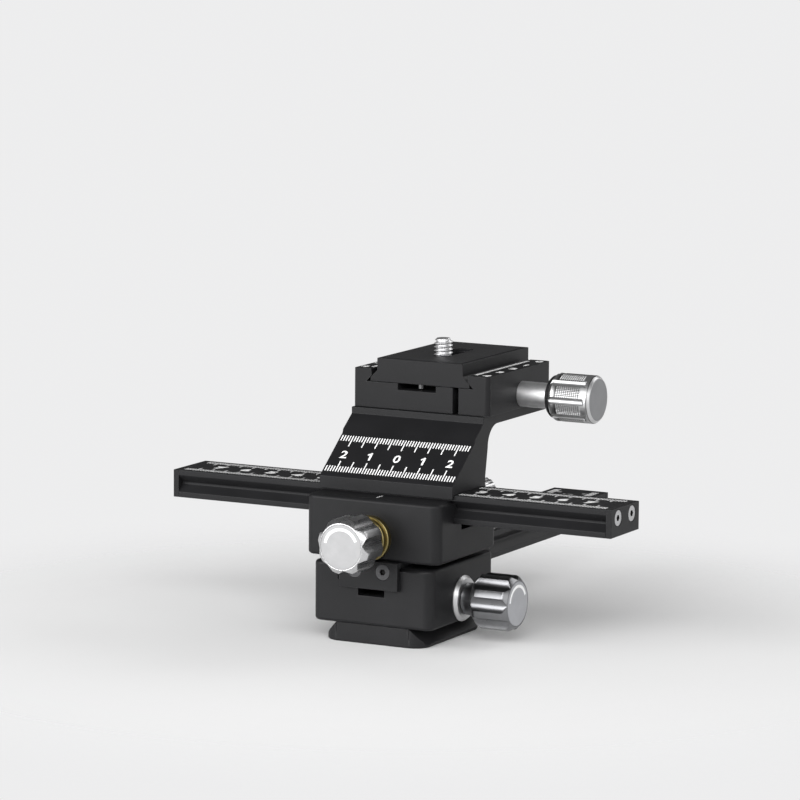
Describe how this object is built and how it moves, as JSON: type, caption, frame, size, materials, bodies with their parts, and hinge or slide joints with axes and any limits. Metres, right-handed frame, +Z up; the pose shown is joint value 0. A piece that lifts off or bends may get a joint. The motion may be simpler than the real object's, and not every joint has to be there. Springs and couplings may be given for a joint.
{
  "type": "macro focusing rail",
  "caption": "Two-stage rack-and-pinion macro focusing rail: crossed rails on two blocks, raised scale bracket, quick-release clamp and plate with camera screw, dovetail tripod foot.",
  "frame": {"origin": "centre of the foot's underside, at the mouth of the tripod thread", "axes": "+Z up, +Y along the lower rail towards its free end (away from the user's focusing knob), +X along the upper rail to the right"},
  "size_m": [0.1648, 0.1841, 0.0973],
  "materials": {
    "black_anodised": "satin black anodised",
    "silver_aluminium": "satin, turned",
    "grey_cap": "matt",
    "chrome": "polished",
    "brass": "turned",
    "steel": "machined",
    "black_steel": "black oxide",
    "polymer": "black acetal",
    "rubber": "matt"
  },
  "bodies": {
    "base": {"arca_foot": "black_anodised", "foot_screws": "black_steel", "lower_block": "black_anodised", "lower_bushes": "brass", "lower_gib": "polymer", "lower_gib_screws": "black_steel", "lower_knob_flange": "chrome"},
    "lower_drive": {"lower_knob": "chrome", "lower_knob_cap": "grey_cap", "lower_knob_set_screw": "black_steel", "lower_pinion": "brass", "lower_knob_shaft": "steel"},
    "lower_lock": {"lower_lock_stud": "steel", "lower_lock_knob": "silver_aluminium"},
    "carriage": {"lower_rail": "black_anodised", "lower_rack": "steel", "lower_end_plates": "black_anodised", "lower_end_plate_screws": "black_steel", "block_screws": "black_steel", "upper_block": "black_anodised", "upper_bushes": "brass", "upper_gib": "polymer", "upper_gib_screws": "black_steel", "upper_knob_collar": "brass"},
    "upper_drive": {"upper_knob": "silver_aluminium", "upper_knob_cap": "grey_cap", "upper_knob_set_screw": "black_steel", "upper_pinion": "brass", "upper_knob_shaft": "steel"},
    "upper_lock": {"upper_lock_stud": "steel", "upper_lock_knob": "silver_aluminium"},
    "cross_slide": {"upper_rail": "black_anodised", "upper_rack": "steel", "upper_end_plates": "black_anodised", "upper_end_plate_screws": "steel", "scale_bracket": "black_anodised", "bracket_screws": "black_steel", "clamp_body": "black_anodised", "clamp_body_screws": "black_steel", "jaw_guide_pins": "steel", "jaw_springs": "steel"},
    "jaw": {"clamp_jaw": "black_anodised"},
    "clamp_knob_set": {"clamp_shaft": "steel", "clamp_knob_ring": "black_anodised", "clamp_knob": "silver_aluminium", "clamp_knob_cap": "grey_cap"},
    "plate": {"quick_release_plate": "black_anodised", "plate_pad": "rubber", "plate_stop_pins": "steel"},
    "screw_slider": {"camera_screw_washer": "steel"},
    "mounting_screw": {"camera_screw": "steel"}
  },
  "joints": [
    {"name": "carriage_slide", "type": "slide", "parent": "base", "child": "carriage", "axis": [0, -1, 0], "range_m": [0, 0.113]},
    {"name": "lower_knob_turn", "type": "hinge", "parent": "base", "child": "lower_drive", "pos_m": [0, 0, 0.01415], "axis": [1, 0, 0], "range_deg": [-2, 1130]},
    {"name": "lower_lock_turn", "type": "hinge", "parent": "base", "child": "lower_lock", "pos_m": [-0.025, 0.016, 0.024], "axis": [1, 0, 0], "range_deg": [0, 180]},
    {"name": "cross_slide_travel", "type": "slide", "parent": "carriage", "child": "cross_slide", "axis": [1, 0, 0], "range_m": [-0.055, 0.055]},
    {"name": "upper_knob_turn", "type": "hinge", "parent": "carriage", "child": "upper_drive", "pos_m": [0, -0.0018, 0.03638], "axis": [0, 1, 0], "range_deg": [-550, 550]},
    {"name": "upper_lock_turn", "type": "hinge", "parent": "carriage", "child": "upper_lock", "pos_m": [0.016, 0.024, 0.04623], "axis": [0, -1, 0], "range_deg": [0, 180]},
    {"name": "jaw_opening", "type": "slide", "parent": "cross_slide", "child": "jaw", "axis": [1, 0, 0], "range_m": [0, 0.003]},
    {"name": "clamp_knob_turn", "type": "hinge", "parent": "jaw", "child": "clamp_knob_set", "pos_m": [0.04, 0.0354, 0.07906], "axis": [1, 0, 0], "range_deg": [-2, 1082]},
    {"name": "plate_slide", "type": "slide", "parent": "cross_slide", "child": "plate", "axis": [0, 1, 0], "range_m": [-0.01, 0.0065]},
    {"name": "screw_slide", "type": "slide", "parent": "plate", "child": "screw_slider", "axis": [0, 1, 0], "range_m": [0, 0.0154]},
    {"name": "camera_screw_turn", "type": "hinge", "parent": "screw_slider", "child": "mounting_screw", "pos_m": [0, 0.02785, 0.09146], "axis": [0, 0, 1], "continuous": true}
  ],
  "couplings": [
    {"joint": "lower_knob_turn", "follows": "carriage_slide", "rad_per_m": 173.91},
    {"joint": "upper_knob_turn", "follows": "cross_slide_travel", "rad_per_m": 173.91},
    {"joint": "clamp_knob_turn", "follows": "jaw_opening", "rad_per_m": 6283.2}
  ]
}
